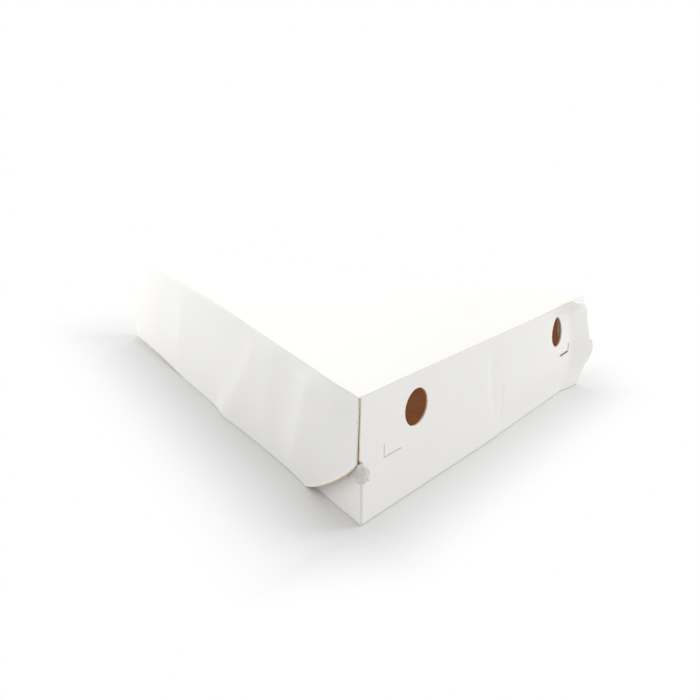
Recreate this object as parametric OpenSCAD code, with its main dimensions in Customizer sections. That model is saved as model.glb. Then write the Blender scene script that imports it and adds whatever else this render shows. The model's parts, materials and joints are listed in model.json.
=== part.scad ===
// Wedge-shaped carton for one slice, folded from thin board: a tray with a crust wall and two
// side walls, a lid that folds on the crust wall, and two flaps that hang from the lid
// outside the side walls and stand on the ground, so that the lid rests a little open.
// Before the last shift, x = 0 is the middle, y = 0 the crust wall's outer face, z = 0 the ground.

/* [Box] */
// Width across the crust end
crust_w = 172; // [130:1:240]
// Length from the crust wall to the point where the side walls' faces would meet
slice_l = 247; // [180:1:340]
// Height of the crust wall with its fold to the lid
wall_h = 45; // [34:1:70]
// Thickness of the board
board_t = 0.6; // [0.4:0.05:1]
// Width of the tray's blunt tip
tray_tip_w = 3; // [2:0.5:8]

/* [Crust wall] */
// Diameter of each vent hole
vent_d = 13.6; // [8:0.1:18]
// Distance from the left end of the crust wall to the centre of its vent hole
left_vent_in = 30.6; // [26:0.2:45]
// Distance from the right end of the crust wall to the centre of its vent hole
right_vent_in = 28; // [24:0.2:45]
// Height of the vent holes' centres
vent_up = 32.5; // [20:0.5:34]
// Distance from the end of the crust wall to the upright leg of its lock slit
slit_in = 12; // [6:0.5:20]
// Height of the lock slits' level leg
slit_up = 20; // [8:0.5:24]
// Length of the lock slits' level leg
slit_l = 10; // [4:0.5:14]
// Length of the lock slits' upright leg
slit_h = 5; // [3:0.5:8]
// Gap between the ends of the crust wall and the side walls
corner_gap = 0.3; // [0.2:0.05:1]
// Width of the lock slit at the left end, which is nearly closed
left_slit_w = 0.3; // [0.2:0.1:1]
// Width of the lock slit at the right end, which gapes
right_slit_w = 0.8; // [0.2:0.1:1.5]
// Length of the ear at each end of the crust wall
ear_l = 6.4; // [3:0.2:9]
// Height of the ears' middle
ear_up = 17.5; // [10:0.5:24]
// Height of the right ear from edge to edge, where it leaves the crust wall
ear_h = 16; // [8:0.5:20]
// Angle by which the right ear leans forward of the crust wall
ear_turn = 45; // [30:1:70]
// Height of the left ear from edge to edge, where it is folded round the corner
folded_ear_h = 10; // [4:0.5:14]

/* [Side walls] */
// Gap between the side walls and a lid that is pressed down flat
lid_seat = 0.5; // [0.3:0.1:2]
// Length of each end tab, folded in behind the crust wall
tab_l = 18; // [8:0.5:22]
// Gap between the crust wall and an end tab
tab_gap = 1.2; // [0.3:0.1:3]
// Distance from an end tab's edges to the base and to the side wall's top
tab_margin = 3; // [1:0.5:6]

/* [Lid] */
// Angle at which the lid rests above flat
lid_rest = 2.2; // [0:0.1:5]
// Width of the lid's blunt tip
lid_tip_w = 3; // [2:0.5:8]
// Clearance at each moving fold
fold_gap = 0.3; // [0.2:0.05:0.5]

/* [Flaps] */
// Gap between a side wall and the flap that hangs outside it
flap_gap = 1.2; // [0.9:0.1:3]
// Distance from the crust wall's outer face to the start of a flap's fold
flap_in = 1.5; // [1:0.1:6]
// Distance from the lid's tip back to the end of a flap's fold
flap_tip_in = 1; // [0.5:0.1:6]
// Distance by which a flap's lower edge ends before its fold, at the tip
flap_tip_slant = 7; // [0:0.5:20]
// Height of the flaps' lower edge above the ground, where they stand
flap_clear = 0.2; // [0:0.1:2]
// Height of the flaps' lower edge above the ground at the tip
flap_tip_lift = 4.2; // [0.5:0.1:10]
// Length of the lower edge that rises towards the tip
flap_rise_l = 92; // [40:1:120]
// Height of the cut corner at a flap's crust end
corner_h = 23; // [5:0.5:28]
// Length of the cut corner along a flap's lower edge
corner_l = 32; // [10:0.5:50]
// Roundness of the cut corner: 1 is a straight cut, 2 is a quarter of an ellipse
corner_power = 1.2; // [1:0.1:3]
// Distance by which a flap's crust end leans forward above its cut corner
flap_lean = 0.9; // [0:0.1:3]

/* [Hidden] */
$fn = 48;
COATED = "#f4f3ef";
// What a cut reaches past the face it opens
cut_past = 1;
// Angle between the points along a flap's rounded corner, and along the right ear
corner_step = 5;
ear_step = 10;

// Half of the angle between the side walls
half_tip = atan(crust_w / 2 / slice_l);
// Distance from the middle, at y, of the line that runs the distance inset inside a side wall's face
function half_at(y, inset) = (slice_l - y) * tan(half_tip) - inset / cos(half_tip);
// The y at which that line comes within the distance half of the middle
function y_where(half, inset) = slice_l - (half + inset / cos(half_tip)) / tan(half_tip);

// The lid turns about the middle of the board at the top of the crust wall
hinge_y = board_t / 2;
hinge_z = wall_h - board_t / 2;
crust_top = hinge_z - board_t / 2 - fold_gap;
side_top = hinge_z - board_t / 2 - lid_seat;
tab_y = board_t + tab_gap;
crust_half = half_at(0, board_t) - corner_gap;
tray_tip_y = y_where(tray_tip_w / 2, 0);

// The lid's own edge lies inside the flaps' fold lines
fold_inset = -(flap_gap + board_t / 2);
lid_inset = fold_inset + board_t / 2 + fold_gap;
lid_len = y_where(lid_tip_w / 2, lid_inset) - hinge_y;

// A fold line runs from the crust end to the tip in the lid's own plane, and rises with it
fold_start = flap_in - hinge_y;
fold_len = (lid_len - flap_tip_in - fold_start) / cos(half_tip);
fold_pitch = asin(sin(lid_rest) * cos(half_tip));
fold_yaw = atan2(cos(lid_rest), tan(half_tip));
fold_x = half_at(flap_in, fold_inset);
fold_y = hinge_y + fold_start * cos(lid_rest);
fold_z = hinge_z + fold_start * sin(lid_rest);
// Depth from the fold line, at the distance s along it, down to the height z
function depth_at(s, z) = (fold_z + s * sin(fold_pitch) - z) / cos(fold_pitch);

// How far a flap's end reaches past the start of its fold, how far the flap and the right ear
// reach sideways, and the whole part's middle
flap_reach = max(0, flap_lean * cos(fold_pitch) - depth_at(0, corner_h) * sin(fold_pitch));
flap_side = fold_x + flap_reach * cos(fold_yaw) + board_t / 2 * sin(fold_yaw);
ear_reach = ear_l * cos(ear_turn) + board_t * sin(ear_turn);
ear_front = -ear_l * sin(ear_turn);
ear_side = crust_half + ear_reach;
flap_front = fold_y - flap_reach * sin(fold_yaw) - board_t / 2 * cos(fold_yaw);
front_y = min(ear_front, flap_front);
back_y = hinge_y + lid_len * cos(lid_rest) + board_t / 2 * sin(lid_rest);
mid_x = (max(flap_side, ear_side) - flap_side) / 2;
mid_y = (front_y + back_y) / 2;

// Puts a shape on the left side, or mirrors it to the right side
module on_side(side) {
    mirror([side == "left" ? 0 : 1, 0, 0]) children();
}

// Base of the tray, the whole plan in one sheet
module base_panel() {
    linear_extrude(board_t)
        polygon([
            [-crust_w / 2, 0], [-tray_tip_w / 2, tray_tip_y],
            [tray_tip_w / 2, tray_tip_y], [crust_w / 2, 0]
        ]);
}

// L-shaped slit that locks an end tab, its corner at the origin and its level leg along +X
module lock_slit(slit_w) {
    translate([0, -cut_past, 0]) {
        cube([slit_l, board_t + 2 * cut_past, slit_w]);
        cube([slit_w, board_t + 2 * cut_past, slit_h]);
    }
}

// Wall behind the crust, with a vent hole and a lock slit near each end
module crust_wall() {
    difference() {
        translate([-crust_half, 0, 0]) cube([2 * crust_half, board_t, crust_top]);
        for (side = ["left", "right"])
            on_side(side) {
                translate([
                    (side == "left" ? left_vent_in : right_vent_in) - crust_w / 2, -cut_past, vent_up
                ])
                    rotate([-90, 0, 0]) cylinder(d = vent_d, h = board_t + 2 * cut_past);
                translate([slit_in - crust_w / 2, 0, slit_up])
                    lock_slit(side == "left" ? left_slit_w : right_slit_w);
            }
    }
}

// Right ear of the crust wall: it leans forward past the corner, so that it stays clear of the
// flap, and is half of an ellipse as seen from the crust end
module open_ear() {
    intersection() {
        linear_extrude(wall_h)
            polygon([
                [crust_half - board_t, 0],
                [crust_half, 0],
                [crust_half + ear_l * cos(ear_turn), ear_front],
                [crust_half + ear_reach, ear_front + board_t * cos(ear_turn)],
                [crust_half + board_t * tan(ear_turn / 2), board_t],
                [crust_half - board_t, board_t]
            ]);
        translate([crust_half, board_t, ear_up]) rotate([90, 0, 0])
            linear_extrude(board_t - ear_front)
                polygon(concat(
                    [[-board_t, -ear_h / 2]],
                    [for (a = [-90 : ear_step : 90]) [ear_reach * cos(a), ear_h / 2 * sin(a)]],
                    [[-board_t, ear_h / 2]]
                ));
    }
}

// Left ear of the crust wall, folded round the corner on to the side wall
module folded_ear() {
    ear_end = (ear_l - half_at(0, 0) + crust_half) * cos(half_tip);
    translate([0, 0, ear_up - folded_ear_h / 2])
        linear_extrude(folded_ear_h)
            polygon([
                [-crust_half, 0],
                [-half_at(0, -board_t), 0],
                [-half_at(ear_end, -board_t), ear_end],
                [-half_at(ear_end, 0), ear_end],
                [-half_at(board_t, 0), board_t],
                [-crust_half, board_t]
            ]);
}

// Left side wall, which closes half of the blunt tip
module side_wall() {
    linear_extrude(side_top)
        polygon([
            [-crust_w / 2, 0],
            [-tray_tip_w / 2, tray_tip_y],
            [0, tray_tip_y],
            [0, tray_tip_y - board_t],
            [-half_at(tray_tip_y - board_t, board_t), tray_tip_y - board_t],
            [-half_at(0, board_t), 0]
        ]);
}

// Tab at the crust end of the left side wall, folded in behind the crust wall
module end_tab() {
    translate([0, 0, board_t + tab_margin])
        linear_extrude(side_top - board_t - 2 * tab_margin)
            polygon([
                [-half_at(tab_y, 0), tab_y],
                [-half_at(tab_y + board_t, 0), tab_y + board_t],
                [tab_l - half_at(tab_y, 0), tab_y + board_t],
                [tab_l - half_at(tab_y, 0), tab_y]
            ]);
}

module tray() {
    color(COATED) {
        base_panel();
        crust_wall();
        open_ear();
        folded_ear();
        for (side = ["left", "right"])
            on_side(side) {
                side_wall();
                end_tab();
            }
    }
}

// Lid in its own plane, its fold at the crust wall rounded about the hinge line
module lid() {
    color(COATED)
        translate([0, hinge_y, hinge_z]) rotate([lid_rest, 0, 0]) {
            rotate([0, 90, 0]) cylinder(d = board_t, h = crust_w, center = true);
            translate([0, 0, -board_t / 2])
                linear_extrude(board_t)
                    polygon([
                        [-crust_w / 2, 0],
                        [-half_at(flap_in, lid_inset), fold_start],
                        [-lid_tip_w / 2, lid_len],
                        [lid_tip_w / 2, lid_len],
                        [half_at(flap_in, lid_inset), fold_start],
                        [crust_w / 2, 0]
                    ]);
        }
}

// Outline of a flap: x along its fold, y up to the fold. Its lower edge stands on the ground,
// rises towards the tip, and ends at the crust end in a corner along a superellipse.
flap_outline = concat(
    [[0, 0], [fold_len, 0]],
    [[fold_len - flap_tip_slant, -depth_at(fold_len - flap_tip_slant, flap_tip_lift)]],
    [[fold_len - flap_rise_l, -depth_at(fold_len - flap_rise_l, flap_clear)]],
    [for (a = [0 : corner_step : 90])
        let (
            s = corner_l * (1 - pow(sin(a), 2 / corner_power)) - flap_lean,
            z = flap_clear + (corner_h - flap_clear) * (1 - pow(cos(a), 2 / corner_power))
        )
        [s, -depth_at(s, z)]]
);

// Flap on one side, its upper edge rounded about the fold line
module hanging_flap(side) {
    color(COATED)
        on_side(side) translate([-fold_x, fold_y, fold_z]) rotate([0, -fold_pitch, fold_yaw]) {
            rotate([0, 90, 0]) cylinder(d = board_t, h = fold_len);
            rotate([90, 0, 0])
                translate([0, 0, -board_t / 2]) linear_extrude(board_t) polygon(flap_outline);
        }
}

module left_flap() {
    hanging_flap("left");
}

module right_flap() {
    hanging_flap("right");
}

translate([-mid_x, -mid_y, 0]) {
    tray();
    lid();
    left_flap();
    right_flap();
}
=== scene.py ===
"""Looks of a folded slice box: board that is white coated outside and brown inside, with cream cut
edges. Shapes are worked out in millimetres, x from the box's middle, y from the crust wall's outer
face towards the tip and z from the ground, and are put into the part's frame, in metres, at the end.
"""

import json
import math

import bpy
import numpy as np
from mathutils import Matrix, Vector


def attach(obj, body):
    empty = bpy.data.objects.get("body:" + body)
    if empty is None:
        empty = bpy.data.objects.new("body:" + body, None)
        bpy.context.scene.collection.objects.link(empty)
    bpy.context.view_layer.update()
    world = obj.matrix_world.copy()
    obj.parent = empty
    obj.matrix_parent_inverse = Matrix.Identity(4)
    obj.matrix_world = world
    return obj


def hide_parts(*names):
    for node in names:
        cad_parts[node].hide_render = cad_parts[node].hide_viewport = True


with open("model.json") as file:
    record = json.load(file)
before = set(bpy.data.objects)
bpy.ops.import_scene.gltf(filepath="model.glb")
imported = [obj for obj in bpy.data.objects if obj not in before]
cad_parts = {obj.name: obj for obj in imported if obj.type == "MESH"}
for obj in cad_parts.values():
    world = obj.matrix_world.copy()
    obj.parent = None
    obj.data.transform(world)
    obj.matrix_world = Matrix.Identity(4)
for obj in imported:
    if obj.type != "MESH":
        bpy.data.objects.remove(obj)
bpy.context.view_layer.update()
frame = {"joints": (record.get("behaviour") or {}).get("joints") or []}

# Sizes of the blank and of the folded box
CRUST_W = 172.0
SLICE_L = 247.0
WALL_H = 45.0
BOARD = 0.6
TRAY_TIP_W = 3.0
LID_TIP_W = 3.0
SIDE_TOP = 43.9
CRUST_END = 85.06
SIDE_FRONT = 0.3
FOLD_R = 0.6
TAB_Y, TAB_L, TAB_LOW, TAB_HIGH = 1.8, 18.0, 3.6, 40.9
LID_REST = math.radians(2.2)
FLAP_OUT, FLAP_IN, FLAP_TIP_IN, FLAP_TIP_SLANT = 1.5, 1.5, 1.0, 7.0
FLAP_CLEAR, FLAP_TIP_LIFT, FLAP_RISE = 0.2, 4.2, 92.0
CORNER_H, CORNER_POWER = 23, 1.2

# The vent holes' centres, as distance from the crust wall's left end and height, their radius, and
# half of the square block of cells that each takes the place of
VENTS = [(30.5, 32.4), (145.8, 32.6)]
VENT_R, VENT_BLOCK = 6.8, 9.6

# The lock slits: both sides of the upright leg and the far end of the level leg, as distances from
# the same end, then the height of the level leg's lower and upper side and of the upright leg's top
SLITS = [(12, 12.3, 22, 20, 20.3, 25), (160, 159, 150, 19.4, 20.7, 24.3)]

# How far the left flap's fold comes in at its crust end, and the heights between which the left
# side wall's end steps back behind the crust wall's
CORNER_IN = 0.8
TUCK_LOW, TUCK_HIGH = 21.9, 22.9

HALF_TIP = math.atan(CRUST_W / 2 / SLICE_L)
HINGE_Y, HINGE_Z = BOARD / 2, WALL_H - BOARD / 2


def half_at(y, inset=0.0):
    """Half of the plan's width at y, along a line that runs `inset` inside the side walls' faces."""
    return (SLICE_L - y) * math.tan(HALF_TIP) - inset / math.cos(HALF_TIP)


def y_where(half, inset=0.0):
    """The y at which that line comes within `half` of the middle."""
    return SLICE_L - (half + inset / math.cos(HALF_TIP)) / math.tan(HALF_TIP)


TRAY_TIP_Y = y_where(TRAY_TIP_W / 2)
LID_L = y_where(LID_TIP_W / 2, BOARD - FLAP_OUT) - HINGE_Y
FOLD_START = FLAP_IN - HINGE_Y
FOLD_L = (LID_L - FLAP_TIP_IN - FOLD_START) / math.cos(HALF_TIP)
PITCH = math.asin(math.sin(LID_REST) * math.cos(HALF_TIP))
YAW = math.atan2(math.cos(LID_REST), math.tan(HALF_TIP))

# The fixed frame's own hinges say where the plan's zero lies
hinges = {j["name"]: np.array(j["pos_m"]) * 1000 for j in frame["joints"]}
SHIFT = np.array(
    [
        (hinges["left_flap_fold"][0] + hinges["right_flap_fold"][0]) / 2,
        hinges["lid_fold"][1] - HINGE_Y,
        0.0,
    ]
)
FOLD_0 = hinges["left_flap_fold"] - SHIFT
ALONG = np.array([math.cos(PITCH) * math.cos(YAW), math.cos(PITCH) * math.sin(YAW), math.sin(PITCH)])
DOWN = np.array([math.sin(PITCH) * math.cos(YAW), math.sin(PITCH) * math.sin(YAW), -math.cos(PITCH)])
OUT = np.array([-math.sin(YAW), math.cos(YAW), 0.0])


# Helpers for the shapes


def steps(stops, most):
    """Places along a line: every stop, and equal steps of at most `most` between two stops."""
    stops = np.unique(np.round(stops, 6))
    parts = [
        np.linspace(a, b, max(1, math.ceil((b - a) / most - 1e-6)), endpoint=False)
        for a, b in zip(stops[:-1], stops[1:])
    ]
    return np.append(np.concatenate(parts), stops[-1])


def smooth(x, low, high):
    """0 below low, 1 above high, and between them the cubic that starts and ends level."""
    t = np.clip((x - low) / (high - low), 0, 1)
    return t * t * (3 - 2 * t)


def soft_line(x, places, values, width):
    """A broken line through the values at the places, its bends rounded over `width` by averaging
    the line at seven points on both sides."""
    shifts = np.linspace(-width, width, 7)
    return np.mean([np.interp(x + s, places, values) for s in shifts], axis=0)


def along_crease(u, v, start, end):
    """Position along a crease as a share of its length, and distance to its right, in millimetres."""
    (u0, v0), (u1, v1) = start, end
    length = math.hypot(u1 - u0, v1 - v0)
    a, b = (u1 - u0) / length, (v1 - v0) / length
    return ((u - u0) * a + (v - v0) * b) / length, (u - u0) * -b + (v - v0) * a


def ridge(u, v, start, end, left, right, fade=0.25):
    """A bend of the board, 1 on its line: it falls off over `left` on one side of the line and over
    `right` on the other, and fades out beyond both ends."""
    share, side = along_crease(u, v, start, end)
    reach = np.where(side < 0, left, right)
    profile = np.exp(-np.abs(side / reach) ** 1.6)
    return profile * smooth(share, -fade, fade * 0.4) * (1 - smooth(share, 1 - fade * 0.4, 1 + fade))


def grid(points, keep=None):
    """A grid of points, and a face for each cell between four of them that keep leaves in. Faces
    look to the side of (step along the first direction) x (step along the second)."""
    m, n = points.shape[:2]
    index = np.arange(m * n).reshape(m, n)
    quads = np.stack([index[:-1, :-1], index[1:, :-1], index[1:, 1:], index[:-1, 1:]], -1)
    quads = quads.reshape(-1, 4) if keep is None else quads[keep]
    return points.reshape(-1, 3), quads


def weld(*grids):
    """Several grids as one sheet: points that fall together within a thousandth become one. The last
    result says for each point which of the grids it comes from."""
    starts = np.cumsum([0] + [len(g[0]) for g in grids[:-1]])
    points = np.concatenate([g[0] for g in grids])
    quads = np.concatenate([g[1] + s for g, s in zip(grids, starts)])
    key = np.floor(points * 1000 + 0.37).astype(np.int64)
    _, first, same = np.unique(key, axis=0, return_index=True, return_inverse=True)
    quads = same.reshape(-1)[quads]
    used, quads = np.unique(quads, return_inverse=True)
    origin = np.repeat(np.arange(len(grids)), [len(g[0]) for g in grids])
    return points[first][used], quads.reshape(-1, 4), origin[first][used]


def unit(vectors):
    return vectors / np.maximum(np.linalg.norm(vectors, axis=-1, keepdims=True), 1e-12)


def point_normals(points, quads):
    """Normal at each point: the sum of its faces' normals, each as long as its face is large."""
    a, b, c, d = (points[quads[:, k]] for k in range(4))
    face = np.cross(c - a, d - b)
    total = np.zeros_like(points)
    for k in range(4):
        np.add.at(total, quads[:, k], face)
    return unit(total)


def free_edges(quads):
    """Edges that only one face has, in that face's own direction."""
    edges = np.concatenate([quads[:, [k, (k + 1) % 4]] for k in range(4)])
    edges = edges[edges[:, 0] != edges[:, 1]]
    size = quads.max() + 1
    forward = edges[:, 0].astype(np.int64) * size + edges[:, 1]
    backward = edges[:, 1].astype(np.int64) * size + edges[:, 0]
    return edges[~np.isin(forward, backward)]


def spread(value, quads, rounds):
    """A value that fades away from where it is set: each round averages it over the faces."""
    for _ in range(rounds):
        mean = value[quads].mean(1)
        total, count = np.zeros_like(value), np.zeros_like(value)
        for k in range(4):
            np.add.at(total, quads[:, k], mean)
            np.add.at(count, quads[:, k], 1)
        value = total / np.maximum(count, 1)
    return value


COATED, BROWN, CUT = 0, 1, 2


def board(points, quads, rim, cap=BOARD / 2):
    """Closed board from its outside face. The inside is the outside moved in by the thickness along
    the normals. The rim joins them at each free edge: rim is 0 at a cut edge, which is flat, 1 at a
    fold that moves, which is half a circle about the middle of the board, white on its outer two
    thirds, and 2 at a fold that is white all round. cap is the radius of those half circles."""
    count, turns = len(points), 6
    normal = point_normals(points, quads)
    edges = free_edges(quads)
    style = np.where((rim[edges] > 0).all(1), rim[edges].min(1), 0)
    side = np.cross(points[edges[:, 1]] - points[edges[:, 0]], normal[edges[:, 0]])
    away = np.zeros_like(points)
    for k in range(2):
        np.add.at(away, edges[:, k], side * (style > 0)[:, None])
    away = unit(away)
    ends = np.unique(edges)
    place = np.full(count, -1)
    place[ends] = np.arange(len(ends))
    turn = np.linspace(0, math.pi, turns + 1)[:, None, None]
    middle = points[ends] - normal[ends] * BOARD / 2
    swell = (np.linalg.norm(away[ends], axis=1) > 0.5)[:, None]
    radius = np.where(swell, cap, BOARD / 2)
    rings = middle + radius * (normal[ends] * np.cos(turn) + away[ends] * np.sin(turn) * swell)
    inside = points - normal * BOARD
    verts = np.concatenate([points, inside, rings[1:-1].reshape(-1, 3)])
    between = 2 * count + np.arange((turns - 1) * len(ends)).reshape(turns - 1, -1)
    layer = np.concatenate([ends[None], between, count + ends[None]])
    if cap < BOARD / 2:
        near = (rim > 0) & (place >= 0)
        verts[:count][near] = (points - normal * BOARD / 2 + normal * cap)[near]
        verts[count : 2 * count][near] = (points - normal * BOARD / 2 - normal * cap)[near]
    a, b = place[edges[:, 0]], place[edges[:, 1]]
    strips = np.stack([layer[:-1][:, b], layer[:-1][:, a], layer[1:][:, a], layer[1:][:, b]], -1)
    outer_part = (np.arange(turns) < turns * 2 / 3)[:, None]
    kinds = np.where(style == 0, CUT, np.where((style == 2) | outer_part, COATED, BROWN))
    kinds = np.broadcast_to(kinds, strips.shape[:2])
    faces = np.concatenate([quads, quads[:, ::-1] + count, strips.reshape(-1, 4)])
    kind = np.concatenate([np.full(len(quads), COATED), np.full(len(quads), BROWN), kinds.reshape(-1)])
    rub = np.zeros(count)
    rub[ends] = 1.0
    rub = spread(rub, quads, 2)
    rub = np.concatenate([rub, rub, np.ones((turns - 1) * len(ends))])
    return verts, faces, kind, rub


def whole(*shells):
    """Several closed shells as one mesh, each keeping its own points."""
    starts = np.cumsum([0] + [len(s[0]) for s in shells[:-1]])
    verts = np.concatenate([s[0] for s in shells])
    faces = np.concatenate([s[1] + k for s, k in zip(shells, starts)])
    kind, rub = (np.concatenate([s[k] for s in shells]) for k in (2, 3))
    return verts, faces, kind, rub


def piece(name, shell, materials, sharp=38):
    """A mesh object in the part's frame: quads, and triangles where two corners fell together."""
    verts, quads, kind, rub = shell
    same = quads == np.roll(quads, -1, axis=1)
    full, thin = ~same.any(1), same.sum(1) == 1
    triangles = quads[thin][~same[thin]].reshape(-1, 3)
    mesh = bpy.data.meshes.new(name)
    mesh.from_pydata(((verts + SHIFT) / 1000).tolist(), [], quads[full].tolist() + triangles.tolist())
    mesh.polygons.foreach_set("use_smooth", np.ones(len(mesh.polygons), bool))
    mesh.polygons.foreach_set("material_index", np.concatenate([kind[full], kind[thin]]).astype(np.int32))
    mesh.attributes.new("rub", "FLOAT", "POINT").data.foreach_set("value", rub.astype(np.float32))
    for material in materials:
        mesh.materials.append(material)
    mesh.validate()
    mesh.set_sharp_from_angle(angle=math.radians(sharp))
    made = bpy.data.objects.new(name, mesh)
    bpy.context.scene.collection.objects.link(made)
    return made


# How the board is bent, dented and crushed


def stretch(x):
    """How far the right third of the crust wall is drawn out to the right: 2 at its end."""
    return 2.0 * smooth(x + CRUST_W / 2, 95, 150)


def crust_set_back(x, z):
    """How far the crust wall stands behind its plane: its right third is pushed in, most at mid
    height, and a narrow strip near its middle is buckled between two creases."""
    u = x + CRUST_W / 2 + stretch(x)
    foot_at = [0, 90, 98, 122, 139, 148, 158, 165, 174]
    foot = soft_line(u, foot_at, [0, 0, 0.5, 1.1, 1.5, 1.7, 2.2, 0.8, 0.3], 2)
    low = soft_line(u, [0, 125, 146, 152, 162, 174], [0, 0, 0.7, 0.9, 1.3, 0.5], 1)
    high = soft_line(u, [0, 125, 136.5, 151, 163, 174], [0, 0, 0.3, 3.0, 2.6, 1.0], 0.8)
    back = foot + (low - foot) * smooth(z, 1, 18) + (high - low) * smooth(z, 21, 37)
    back = back * (1 - smooth(z, 40, 45.2))
    notch = 0.5 * ridge(u, z, (81.8, 37), (85.2, 17), 1.4, 0.8, 0.1)
    tilt = smooth(u, 82 + (37 - z) * 0.17, 83 + (37 - z) * 0.17) * (1 - smooth(u, 84, 94))
    strip = 0.7 * tilt * smooth(z, 4, 18) * (1 - smooth(z, 34, 43))
    lower = 0.5 * ridge(u, z, (93.5, 21), (93.5, 6), 0.9, 1.8, 0.15)
    return back + notch + strip + lower


def open_end(x, z):
    """How far the crust wall's loose right end stands out in front of where the rest of its set-back
    would have it: nothing at the lock slit, more towards the ear, and nothing at foot and lid."""
    u = x + CRUST_W / 2
    z_at = [0, 5, 8, 14, 19, 24, 27, 33, 41, 45]
    out = soft_line(z, z_at, [0, 0.8, 1.6, 2.8, 3.6, 3.6, 3.4, 2.4, 1.0, 0], 1)
    set_back = crust_set_back(np.full_like(x, CRUST_W / 2), z)
    return (out + set_back) * np.clip((u - 161.5) / 10.5, 0, 1.35)


def corner_drop(x):
    """How far the fold between crust wall and lid is crushed down at the right corner."""
    u = x + CRUST_W / 2
    return soft_line(u, [0, 156, 161, 173], [0, 0, 2.1, 3.4], 0.8)


def fold_lift(x):
    """How far the same fold bulges up along its length, most beside the crushed corner."""
    u = x + CRUST_W / 2
    return soft_line(u, [-1, 20, 120, 140, 150, 160, 173], [0, 0.3, 0.4, 0.8, 1.0, 0.7, 0], 4)


def flap_arch(s):
    """How far the left flap's fold bows up, along its length."""
    return soft_line(s, [0, 20, 113, 220, 260], [0, 0.5, 1.7, 0.6, 0], 12)


def corner_in(s):
    """How far the left flap's fold comes in towards the side wall near the crust end."""
    return CORNER_IN * (1 - smooth(s, -1.5, 14))


def right_flap_drop(s):
    """The right flap's fold goes down with the crushed corner at its crust end."""
    return -1.0 * (1 - smooth(s * math.cos(HALF_TIP) + FOLD_START, 0.8, 2.5))


def left_flap_out(s, z, depth):
    """How far the left flap bulges outwards: its lower edge waves in and out, soft dents run
    slantwise down its crust half, and its crust end comes in towards the side wall."""
    share = np.clip(depth / 45, 0, 1)
    edge_at = [0, 58, 103, 110, 119, 163, 196, 257]
    edge = soft_line(s, edge_at, [0.2, -0.1, 0.7, 0.5, -0.3, -0.4, -0.45, -0.45], 4)
    dents = (
        1.5 * ridge(s, z, (26, 46), (40, 8), 20, 9)
        + 0.8 * ridge(s, z, (58, 46), (66, 12), 12, 12)
        + 1.0 * ridge(s, z, (76, 36), (112, -2), 12, 6)
        + 0.5 * ridge(s, z, (160, 42), (172, 12), 10, 8)
    )
    pulled = corner_in(s) * (1 - 0.9 * smooth(depth, 4, 24))
    return edge * share**1.3 + dents * np.clip(depth / 6, 0, 1) - pulled


def right_flap_out(s, z, depth):
    """The right flap only bulges out softly towards its lower edge."""
    return 0.4 * np.clip(depth / 45, 0, 1) ** 1.5


# The pieces


def vent_patch(x0, z0, columns, rows):
    """Rings between a vent hole and the square block of cells that it takes the place of: the
    outermost ring is the block's own edge, and each point goes straight to the circle."""
    xs, zs = columns - x0, rows - z0
    edge = np.concatenate(
        [
            np.stack([xs[:-1], np.full(len(xs) - 1, zs[0])], -1),
            np.stack([np.full(len(zs) - 1, xs[-1]), zs[:-1]], -1),
            np.stack([xs[:0:-1], np.full(len(xs) - 1, zs[-1])], -1),
            np.stack([np.full(len(zs), xs[0]), zs[::-1]], -1),
        ]
    )
    circle = unit(edge) * VENT_R
    share = np.linspace(0, 1, 6)[:, None, None]
    ring = circle + (edge - circle) * share
    return grid(np.stack([ring[..., 0] + x0, np.zeros(ring.shape[:2]), ring[..., 1] + z0], -1))


def ear_reach(z):
    """How far the loose right end and its ear reach past the end of the crust wall, by height."""
    z_at = [0.6, 1.5, 4.6, 8.2, 11.3, 13.8, 16.4, 19.4, 22.0, 23.6, 24.3, 24.9, 26.6, 33, 41, 44.7]
    reach = [0.9, 1.1, 1.3, 1.7, 2.6, 3.9, 4.3, 4.3, 3.7, 2.9, 1.0, 1.5, 1.1, 0.6, 1.3, 0.9]
    return np.interp(z, z_at, reach)


def left_reach(z):
    """How far the crust wall's left end reaches past CRUST_END: above the folded ear it goes on in
    front of the side wall's end."""
    z_at = [TUCK_HIGH, 23.3, 24, 28, 31, 34, 37, 39.5, 44.7]
    reach = [0, 0.9, 1.45, 1.3, 1.25, 1.1, 0.95, 0.8, 0.78]
    return 0.02 + np.interp(z, z_at, reach)


def tucked(x, y, z):
    """How far the left side wall's end stands back above the ear, so that it is behind that end."""
    return 0.8 * smooth(z, TUCK_LOW, TUCK_HIGH) * (1 - np.clip((y - SIDE_FRONT) / 2.7, 0, 1)) * (x < 0)


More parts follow.
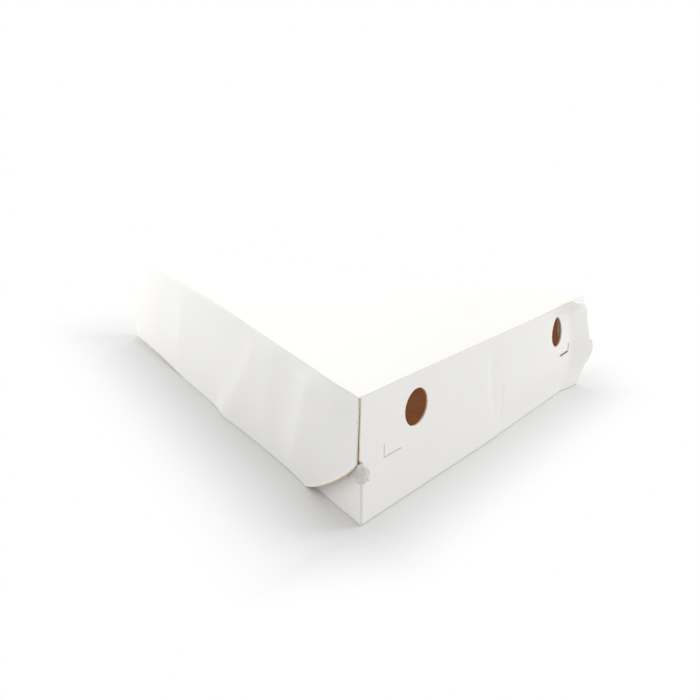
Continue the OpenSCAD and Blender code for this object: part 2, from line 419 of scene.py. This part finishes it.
def folded_ear():
    """Left ear as a strip that lies on the crust wall with its rounded end, turns round the corner
    on a circle of 1.35 and goes on along the side wall, getting lower. Crossing waves crumple it."""
    centre, radius = np.array([-85.2, 0.45]), 1.35
    angle = np.linspace(-math.pi / 2, -math.pi - HALF_TIP, 13)
    around = np.stack([np.cos(angle), np.sin(angle)], -1)
    turn = centre + radius * around
    front = turn[0] + np.linspace(2.6, 0, 11)[:-1, None] * [1, 0.04]
    side = turn[-1] + np.linspace(0, 6.5, 18)[1:, None] * [math.sin(HALF_TIP), math.cos(HALF_TIP)]
    path = np.concatenate([front, turn, side])
    ahead, beside = np.repeat(around[:1], len(front), 0), np.repeat(around[-1:], len(side), 0)
    outward = np.concatenate([ahead, around, beside])
    far = np.concatenate([[0], np.cumsum(np.linalg.norm(np.diff(path, axis=0), axis=1))])[:, None]
    middle = np.interp(far, [0, 4, 8, 13], [17.6, 19.0, 18.5, 16.7])
    half_far = [0, 0.25, 0.9, 2, 4, 6, 9, 12, 13]
    half = np.interp(far, half_far, [0.5, 1.2, 2.0, 2.7, 3.3, 3.4, 3.2, 2.2, 1.1])
    z = middle + half * np.linspace(-1, 1, 30)
    crumple = 0.22 * np.sin(1.3 * far + 0.9 * z)
    crumple = crumple + 0.16 * np.sin(3.1 * far - 1.3 * z + 1) + 0.1 * np.sin(6.5 * far + 2.1 * z)
    loose = 1 - 0.6 * smooth(far, 3, 5.5)
    plan = path[:, None] + outward[:, None] * ((crumple + 0.25) * loose)[..., None]
    return np.concatenate([plan, z[..., None]], -1)[::-1]


def make_tray(materials):
    """Base, crust wall and side walls as one folded sheet. The walls rise from the base over a
    quarter circle of FOLD_R, and the side walls turn round the blunt tip in the same way."""
    vents = [(u - CRUST_W / 2, z0) for u, z0 in VENTS]
    slits = [(*(u - CRUST_W / 2 for u in s[:3]), *s[3:]) for s in SLITS]
    buckled = [u - CRUST_W / 2 for u in (77, 98)]
    stops = [-CRUST_END, CRUST_END, *buckled, 148 - CRUST_W / 2]
    stops += [x0 + side * VENT_BLOCK for x0, _ in vents for side in (-1, 1)]
    stops += [x for s in slits for x in s[:3]]
    columns = np.union1d(steps(stops, 1.6), steps(buckled, 0.6))
    levels = [FOLD_R, HINGE_Z, 22.4, TUCK_HIGH, 23.3, 23.6]
    levels += [z for s in slits for z in s[3:]]
    levels += [z0 + k * VENT_BLOCK for _, z0 in vents for k in (-1, 1)]
    rows = steps(levels, 1.4)
    bend = np.linspace(0, math.pi / 2, 5)[:-1]

    # Crust wall: columns across, rows up, the first ones round the fold at its foot
    back = np.concatenate([FOLD_R * (1 - np.sin(bend)), np.zeros(len(rows))])
    up = np.concatenate([FOLD_R * (1 - np.cos(bend)), rows])
    wall = np.stack(np.broadcast_arrays(columns[:, None], back[None], up[None]), -1).astype(float)
    x_mid, z_mid = (columns[1:] + columns[:-1])[:, None] / 2, (up[1:] + up[:-1])[None] / 2
    keep = np.ones((len(columns) - 1, len(up) - 1), bool)
    for x0, z0 in vents:
        keep &= (np.abs(x_mid - x0) > VENT_BLOCK) | (np.abs(z_mid - z0) > VENT_BLOCK)
    for x_a, x_b, x_c, z_a, z_b, z_c in slits:
        low, high = sorted((x_a, x_b))
        keep &= ~((x_mid > low) & (x_mid < high) & (z_mid > z_a) & (z_mid < z_c))
        low, high = sorted((x_a, x_c))
        keep &= ~((x_mid > low) & (x_mid < high) & (z_mid > z_a) & (z_mid < z_b))
    patches = []
    for x0, z0 in vents:
        across, high = (np.abs(a - b) < VENT_BLOCK + 1e-6 for a, b in ((columns, x0), (rows, z0)))
        patches.append(vent_patch(x0, z0, columns[across], rows[high]))
    reach = CRUST_END + ear_reach(rows) * np.linspace(0, 1, 7)[:, None]
    patches.append(grid(np.stack(np.broadcast_arrays(reach, 0.0, rows[None]), -1)))
    reach = -CRUST_END - left_reach(rows) * np.linspace(1, 0, 4)[:, None]
    patches.append(grid(np.stack(np.broadcast_arrays(reach, 0.0, rows[None]), -1)))

    # Base: rows towards the tip, columns that draw together with the side walls
    lines = steps([FOLD_R, 3, 12, TRAY_TIP_Y - FOLD_R], 3.2)
    lines = np.union1d(lines, steps([FOLD_R, 12], 1.5))
    share = np.concatenate([[-1], columns / half_at(FOLD_R, FOLD_R), [1]])
    half = half_at(lines, FOLD_R)
    base = np.stack(np.broadcast_arrays(share[:, None] * half, lines[None], 0.0), -1)[::-1]

    # Side walls: up the right side, round the tip, and down the left side
    front = np.concatenate([[SIDE_FRONT - FOLD_R * math.sin(HALF_TIP)], lines])
    right = np.stack([half_at(front, FOLD_R), front], -1)
    turn = np.linspace(HALF_TIP, math.pi / 2, 5)[1:-1]
    tip_x = share[::-1] * half[-1]
    inner = np.concatenate(
        [
            right,
            np.repeat(right[-1:], len(turn), 0),
            np.stack([tip_x, np.full(len(tip_x), lines[-1])], -1),
            np.repeat(right[-1:] * [-1, 1], len(turn), 0),
            right[::-1] * [-1, 1],
        ]
    )
    angle = np.concatenate(
        [
            np.full(len(right), HALF_TIP),
            turn,
            np.full(len(tip_x), math.pi / 2),
            math.pi - turn[::-1],
            np.full(len(right), math.pi - HALF_TIP),
        ]
    )
    outward = np.stack([np.cos(angle), np.sin(angle)], -1)
    rise = steps([FOLD_R, TUCK_LOW, TUCK_HIGH, SIDE_TOP], 2.0)
    swing = np.concatenate([FOLD_R * np.sin(bend), np.full(len(rise), FOLD_R)])
    up_side = np.concatenate([FOLD_R * (1 - np.cos(bend)), rise])
    plan = inner[:, None] + outward[:, None] * swing[None, :, None]
    sides = np.concatenate([plan, np.broadcast_to(up_side[None, :, None], plan.shape[:2] + (1,))], -1)
    sides = sides + tucked(*sides.transpose(2, 0, 1))[..., None] * [math.tan(HALF_TIP), 1, 0]

    points, quads, origin = weld(grid(wall, keep), *patches, grid(base), grid(sides))
    left_part, base_part = len(patches), len(patches) + 1
    crust = origin < base_part
    rim = np.where(crust & (points[:, 2] > HINGE_Z - 0.01), 1, 0)
    end_y = SIDE_FRONT + 0.01 + tucked(points[:, 0], SIDE_FRONT, points[:, 2])
    front_end = (origin > base_part) & (points[:, 1] < end_y) & (points[:, 2] > FOLD_R - 0.01)
    left_end = (origin == left_part) & (points[:, 0] < 0.01 - CRUST_END - left_reach(points[:, 2]))
    rim = np.where(front_end | left_end, 2, rim)
    points = tray_bent(points, crust)

    shells = [board(points, quads, rim, BOARD / 2 - 0.005)]
    ear_points, ear_quads = grid(folded_ear())
    ear = board(ear_points, ear_quads, np.zeros(len(ear_points), int))
    shells.append((*ear[:3], ear[3] + 2))

    # End tabs: flat, from inside the side wall's board to their free end behind the crust wall
    across = np.linspace(0, 1, 12)
    high = steps([TAB_LOW, TAB_HIGH], 2.5)
    for side in (-1, 1):
        wall_x, free_x = half_at(TAB_Y) - BOARD / 2, half_at(TAB_Y) - TAB_L
        x = side * (wall_x + (free_x - wall_x) * across)
        x = x if side < 0 else x[::-1]
        tab = np.stack(np.broadcast_arrays(x[:, None], TAB_Y, high[None]), -1)
        tab_points, tab_quads = grid(tab)
        tab_points = tray_bent(tab_points, np.zeros(len(tab_points), bool))
        shells.append(board(tab_points, tab_quads, np.zeros(len(tab_points), int)))
    return piece("tray_sheet", whole(*shells), materials)


def tray_bent(points, crust):
    """Moves the tray's points back by the crust wall's set-back, which dies out towards the tip, and
    down and up with the fold at its top. Only the crust wall itself has the loose right end."""
    x, y, z = points.T
    fade = 1 - smooth(y, 2.5, 30)
    moved = points.copy()
    moved[:, 1] += crust_set_back(x, z) * fade
    moved[:, 1] -= open_end(x, z) * crust
    moved[:, 0] += stretch(x) * fade
    crushed = np.clip((z - 38) / (HINGE_Z - 38), 0, 1) * crust
    moved[:, 2] += (fold_lift(x) - corner_drop(x)) * crushed
    side = ~crust & (x > half_at(y, 1.5))
    moved[:, 2] -= 3.4 * side * (1 - smooth(y, 2, 5)) * smooth(z, 34, 44)
    return moved


def make_lid(materials):
    """Flat triangle of board between the three folds, bowed up along its left edge and its crust
    edge, with its right corner crushed down. It is worked out level and then turned to rest."""
    rows = steps([0, FOLD_START, 4, 14, LID_L - FLAP_TIP_IN, LID_L], 3)
    rows = np.union1d(rows, steps([0, FOLD_START, 3], 0.4))
    rows = np.union1d(rows, steps([3, 14], 1.0))
    half = np.where(
        rows < FOLD_START - 1e-6,
        np.interp(rows, [0, FOLD_START], [CRUST_W / 2, half_at(FLAP_IN, -FLAP_OUT)]),
        half_at(rows + HINGE_Y, -FLAP_OUT),
    )
    half[-1] = LID_TIP_W / 2
    share = np.union1d(steps([-1, 1], 0.03), steps([0.75, 1], 0.012))
    left = half - corner_in((rows - FOLD_START) / math.cos(HALF_TIP)) / math.cos(HALF_TIP)
    first = rows < FOLD_START - 1e-6
    left[first] = half_at(rows[first] + HINGE_Y, -FLAP_OUT) - CORNER_IN / math.cos(HALF_TIP)
    width = np.where(share[:, None] < 0, left, half)
    x, b = np.broadcast_arrays(share[:, None] * width, rows[None])
    points = np.stack([x, b, np.full(x.shape, BOARD / 2)], -1).reshape(-1, 3)
    _, quads = grid(points.reshape(len(share), len(rows), 3))
    x, b, _ = points.T
    from_left = x + half_at(b + HINGE_Y, -FLAP_OUT)
    s = (b - FOLD_START) / math.cos(HALF_TIP)
    lift = flap_arch(s) * (1 - smooth(from_left, 0, 50))
    lift += fold_lift(x) * (1 - smooth(b, 0, 25))
    from_right = half_at(b + HINGE_Y, -FLAP_OUT) - x
    lift -= corner_drop(x + b * 0.34) * (1 - smooth(b, 0.1, 1.5)) * (1 - smooth(from_right, 14, 18))
    points[:, 2] += lift
    points[:, 0] += stretch(x) * (1 - smooth(b, 2, 30))
    rim = np.where((b < LID_L - 0.01), 1, 0)
    verts, faces, kind, rub = board(points, quads, rim)
    c, s = math.cos(LID_REST), math.sin(LID_REST)
    x, y, z = verts.T
    turned = np.stack([x, y * c - z * s, y * s + z * c], -1)
    return piece("lid_sheet", (turned + [0, HINGE_Y, HINGE_Z], faces, kind, rub), materials)


def flap_outline(lean, corner_l):
    """A flap's lower edge as (s along the fold, height): up its crust end the corner is part of a
    superellipse, |s'|^power + |z'|^power = 1 with power CORNER_POWER, then comes the edge that
    stands on the ground, and then the edge that rises to the tip."""
    a = np.radians(np.linspace(90, 0, 29))
    s = corner_l * (1 - np.sin(a) ** (2 / CORNER_POWER)) - lean
    z = FLAP_CLEAR + (CORNER_H - FLAP_CLEAR) * (1 - np.cos(a) ** (2 / CORNER_POWER))
    rise, end = FOLD_L - FLAP_RISE, FOLD_L - FLAP_TIP_SLANT
    flat = steps([s[-1], rise, end], 1.8)[1:]
    low = np.interp(flat, [rise, end], [FLAP_CLEAR, FLAP_TIP_LIFT])
    return np.concatenate([s, flat]), np.concatenate([z, low])


def corner_worn(s, side):
    """1 along the left flap's cut corner, where the coat is rubbed off and the edge turns out."""
    return (1 - smooth(s, 29, 36)) * smooth(s, -1.3, 1.5) * (side < 0)


def make_flap(name, outline, start, bulge, arch, side, materials):
    """Board ruled between the fold line above, which begins at start, and the outline below, moved
    outwards by the bulge and up by the arch. Where its corner is worn the last half millimetre is
    bare and turns out by 0.35 e^(-d / 0.35) at the distance d from the edge."""
    s_low, z_low = outline
    depth_low = (FOLD_0[2] + s_low * math.sin(PITCH) - z_low) / math.cos(PITCH)
    s_top = start + (s_low - s_low[0]) * (FOLD_L - start) / (s_low[-1] - s_low[0])
    share = np.append(np.linspace(0, 1, 34)[:-1], [0.978, 0.985, 0.991, 0.996, 1])
    s = s_top[:, None] + (s_low - s_top)[:, None] * share
    depth = depth_low[:, None] * share
    flat = FOLD_0 + s[..., None] * ALONG + depth[..., None] * DOWN
    shift = BOARD / 2 + bulge(s, flat[..., 2], depth)
    to_edge = np.hypot(s_low[:, None] - s, depth_low[:, None] - depth)
    worn = corner_worn(s_low, side)[:, None]
    shift = shift + 0.35 * worn * np.exp(-to_edge / 0.35)
    points = flat + shift[..., None] * OUT
    points[..., 2] += arch(s) * (1 - smooth(depth, 0, 30))
    points, quads = grid(points)
    rim = np.where(depth.reshape(-1) < 0.01, 1, 0)
    verts, faces, kind, rub = board(points, quads, rim, BOARD / 2 - 0.005)
    bare = ((to_edge < 0.5) & (worn > 0.5)).reshape(-1)
    kind[: len(quads)] = np.where(bare[quads].all(1), CUT, kind[: len(quads)])
    if side > 0:
        verts, faces = verts * [-1, 1, 1], faces[:, ::-1]
        verts[:, 0] += stretch(verts[:, 0]) * (1 - smooth(verts[:, 1], 2.5, 30))
    return piece(name, (verts, faces, kind, rub), materials)


# Materials


class Wire:
    """A node's output. Sums on wires and numbers add Math nodes to its material."""

    def __init__(self, paint, socket):
        self.paint, self.socket = paint, socket

    def maths(self, operation, *inputs):
        return self.paint.node("Math", {"operation": operation}, *inputs)

    def __add__(self, other):
        return self.maths("ADD", self, other)

    def __sub__(self, other):
        return self.maths("SUBTRACT", self, other)

    def __rsub__(self, other):
        return self.maths("SUBTRACT", other, self)

    def __mul__(self, other):
        return self.maths("MULTIPLY", self, other)

    __radd__, __rmul__ = __add__, __mul__

    def clamp(self):
        return self.paint.node("Clamp", {}, self)

    def ramp(self, low, high):
        """0 where the wire is at low, 1 at high, and level at both."""
        settings = {"interpolation_type": "SMOOTHSTEP"}
        return self.paint.node("MapRange", settings, Value=self, From_Min=low, From_Max=high)


class Paint:
    """The node tree of a material or of the world."""

    def __init__(self, name, world=False):
        self.owner = bpy.data.worlds.new(name) if world else bpy.data.materials.new(name)
        self.owner.use_nodes = True
        self.tree = self.owner.node_tree
        self.tree.nodes.clear()

    def node(self, kind, settings, *inputs, out=0, **named):
        """Adds a node, with its settings first, then the values or wires of its sockets."""
        node = self.tree.nodes.new("ShaderNode" + kind)
        for key, value in settings.items():
            setattr(node, key, value)
        sockets = list(zip(range(len(inputs)), inputs))
        sockets += [(key.replace("_", " "), value) for key, value in named.items()]
        for key, value in sockets:
            if isinstance(value, Wire):
                self.tree.links.new(value.socket, node.inputs[key])
            else:
                node.inputs[key].default_value = value
        return Wire(self, node.outputs[out]) if len(node.outputs) else None

    def place(self):
        return self.node("TexCoord", {}, out="Object")

    def seen(self):
        """1 where the camera looks, also in a mirror and through glass."""
        rays = ("Is Camera Ray", "Is Glossy Ray", "Is Transmission Ray")
        camera, glossy, through = (self.node("LightPath", {}, out=ray) for ray in rays)
        return (camera + glossy + through).clamp()

    def noise(self, place, scale, detail=3.0, roughness=0.5, stretch=(1, 1, 1)):
        place = self.node("Mapping", {}, Vector=place, Scale=stretch)
        return self.node("TexNoise", {}, Vector=place, Scale=scale, Detail=detail, Roughness=roughness)

    def blend(self, share, one, other):
        """Colour that goes from one to the other as share goes from 0 to 1."""
        settings = {"data_type": "RGBA"}
        node = self.node("Mix", settings, out=2)
        for key, value in zip((0, 6, 7), (share, one, other)):
            if isinstance(value, Wire):
                self.tree.links.new(value.socket, node.socket.node.inputs[key])
            else:
                node.socket.node.inputs[key].default_value = value
        return node

    def finish(self, shader, target="OutputMaterial"):
        self.node(target, {}, Surface=shader)
        return self.owner


def rgb(red, green, blue):
    """A colour as written in 0 to 255, as the shader wants it."""
    written = (red / 255, green / 255, blue / 255)
    linear = [c / 12.92 if c <= 0.04045 else ((c + 0.055) / 1.055) ** 2.4 for c in written]
    return (*linear, 1.0)


def coated_board(name, white, worn):
    """White coated side: faint clouds and fibres in the coat, greyer where edges and folds are
    rubbed, and a soft sheen that varies with the fibres. Where rub is above 1 the coat is scuffed."""
    p = Paint(name)
    place = p.place()
    clouds = p.noise(place, 28.0, 4.0)
    fibres = p.noise(place, 900.0, 4.0, 0.6, (1, 1, 0.45))
    specks = p.noise(place, 2600.0, 2.0)
    rub = p.node("Attribute", {"attribute_name": "rub"}, out="Fac")
    rubbed = (rub.clamp() * (0.35 + fibres)).ramp(0.35, 1.05) * 0.55
    shade = ((clouds - 0.5) * 0.5 + (fibres - 0.5) * 0.5 + 0.5).clamp()
    colour = p.blend(shade, tuple(c * 0.965 for c in white[:3]) + (1.0,), white)
    colour = p.blend(rubbed, colour, worn)
    scuffs = (p.noise(place, 420.0, 4.0, 0.65) * 1.4 - 0.1).clamp()
    scuffed = p.blend(scuffs, rgb(186, 184, 176), rgb(243, 242, 239))
    colour = p.blend((rub - 1.0).clamp(), colour, scuffed)
    height = fibres * 0.5 + specks * 0.3 + clouds * 2.0
    bump = p.node("Bump", {}, Strength=0.35, Distance=0.00006, Height=height)
    roughness = 0.36 + fibres * 0.16 + rub.clamp() * 0.1
    shader = p.node("BsdfPrincipled", {}, Base_Color=colour, Roughness=roughness, Normal=bump)
    return p.finish(shader)


def brown_board(name):
    """Uncoated inside: brown pulp with paler and darker fibres, and no gloss. Painted light: a weak glow
    of its own stands for the light that comes through the thin board; it brightens the inside seen through
    the vents and tints the white faces near it brown."""
    p = Paint(name)
    place = p.place()
    fibres = p.noise(place, 700.0, 5.0, 0.65, (1, 0.35, 1))
    clouds = p.noise(place, 60.0, 3.0)
    shade = ((fibres - 0.5) * 1.4 + (clouds - 0.5) * 0.6 + 0.5).clamp()
    colour = p.blend(shade, rgb(144, 98, 64), rgb(180, 132, 94))
    bump = p.node("Bump", {}, Strength=0.5, Distance=0.00008, Height=fibres)
    # Painted light: emission that lights the brown inside though it is no lamp
    glow = {"Emission_Color": colour, "Emission_Strength": 0.27}
    shader = p.node("BsdfPrincipled", {}, Base_Color=colour, Roughness=0.85, Normal=bump, **glow)
    return p.finish(shader)


def cut_board(name):
    """Cut edge: cream pulp between the white coat and the brown side, slightly frayed."""
    p = Paint(name)
    place = p.place()
    fibres = p.noise(place, 1400.0, 4.0, 0.6)
    colour = p.blend(fibres.ramp(0.3, 0.7), rgb(224, 214, 192), rgb(248, 242, 228))
    bump = p.node("Bump", {}, Strength=0.4, Distance=0.00006, Height=fibres)
    shader = p.node("BsdfPrincipled", {}, Base_Color=colour, Roughness=0.8, Normal=bump)
    return p.finish(shader)


WHITE = rgb(247, 246, 243)
WORN = rgb(214, 210, 200)
brown = brown_board("brown_inside")
cut = cut_board("cut_edge")
finishes = {
    node: [coated_board("coated_" + node, WHITE, WORN), brown, cut]
    for node in ("tray", "lid", "left_flap", "right_flap")
}

left_shape = (flap_outline(1.8, 32.9), -0.7, left_flap_out, flap_arch, -1)
right_shape = (flap_outline(0.9, 32), 0, right_flap_out, right_flap_drop, 1)
made = {
    "tray": make_tray(finishes["tray"]),
    "lid": make_lid(finishes["lid"]),
    "left_flap": make_flap("left_flap_sheet", *left_shape, finishes["left_flap"]),
    "right_flap": make_flap("right_flap_sheet", *right_shape, finishes["right_flap"]),
}
for node, thing in made.items():
    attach(thing, node)
    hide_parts(node)


# Floor, light and camera


def make_floor():
    """Round floor that keeps the shadow beside the box. For the camera it fades to pure white with
    the distance from the box's plan: the sum of the distances past its three sides, with that past
    the crust wall counted one and a half times. This fade is painted shadow: it sets how far the darkened
    floor reaches from the box, and near the box the camera sees the floor at 0.75 while the light bounces
    off it at 0.8."""
    p = Paint("white_floor")
    x, y = (p.node("SeparateXYZ", {}, p.place(), out=k) for k in (0, 1))
    x, y = x - SHIFT[0] / 1000, y - SHIFT[1] / 1000
    slant, along = math.cos(HALF_TIP), math.sin(HALF_TIP)
    far = [(y - SLICE_L / 1000) * along + side * x * slant for side in (-1.0, 1.0)] + [y * -1.0]
    zero = [d.maths("MAXIMUM", d, 0.0) for d in far]
    away = zero[0] + zero[1] + zero[2] * 1.5
    seen = p.seen()
    # Painted shade: the camera sees the floor darker (0.75) than the colour that light bounces off (0.8)
    colour = p.blend(seen, (0.8, 0.8, 0.8, 1), (0.75, 0.75, 0.75, 1))
    matte = p.node("BsdfDiffuse", {}, Color=colour)
    glow = p.node("Emission", {}, Color=(1, 1, 1, 1), Strength=1.0)
    # Painted shadow: near the box the floor stays darker and only fades to white with this distance
    shader = p.node("MixShader", {}, away.ramp(-0.01, 0.055) * seen, matte, glow)
    material = p.finish(shader)
    angle = np.linspace(0, 2 * math.pi, 97)[:, None]
    radius = np.array([0.0, 0.3, 0.8, 4.0])[None]
    points = np.stack(np.broadcast_arrays(radius * np.cos(angle), radius * np.sin(angle), -0.0001), -1)
    verts, quads = grid(points[::-1])
    mesh = bpy.data.meshes.new("floor")
    mesh.from_pydata(verts.tolist(), [], quads.tolist())
    mesh.materials.append(material)
    mesh.validate()
    floor = bpy.data.objects.new("floor", mesh)
    bpy.context.scene.collection.objects.link(floor)


def make_world(ambient):
    """White for the camera and in reflections, and an even pale light on the object."""
    p = Paint("studio", world=True)
    seen = p.seen()
    colour = p.blend(seen, (ambient, ambient, ambient, 1), (1, 1, 1, 1))
    bpy.context.scene.world = p.finish(p.node("Background", {}, Color=colour, Strength=1.0), "OutputWorld")


def lamp(name, place, target, size, power):
    """Square soft light at a place, turned to its target."""
    data = bpy.data.lights.new(name, "AREA")
    data.shape, data.size, data.energy = "SQUARE", size, power
    light = bpy.data.objects.new(name, data)
    light.location = place
    light.rotation_euler = (Vector(target) - Vector(place)).to_track_quat("-Z", "Y").to_euler()
    bpy.context.scene.collection.objects.link(light)


make_floor()
make_world(0.61)
lamp("right_light", (0.45, -0.45, 0.75), (0, -0.02, 0), 0.4, 2.7)
lamp("top_light", (0.5, 0.5, 0.75), (0, 0, 0), 0.5, 2.2)
lamp("tip_light", (-0.12, 0.60, 0.15), (-0.05, 0.0, 0.02), 0.25, 1.9)
lamp("front_light", (0.35, -0.8, 0.2), (0, -0.12, 0.02), 0.4, 0.6)

camera = bpy.data.objects.new("camera", bpy.data.cameras.new("camera"))
camera.data.sensor_width, camera.data.lens = 36.0, 37.3
camera.data.clip_start = 0.01
camera.location = (np.array([-248.8, -129.2, 125.8]) + SHIFT) / 1000
camera.rotation_euler = (math.radians(90 - 17.5), 0, math.radians(-50.6))
bpy.context.scene.collection.objects.link(camera)
bpy.context.scene.camera = camera
bpy.context.scene.view_settings.view_transform = "Standard"
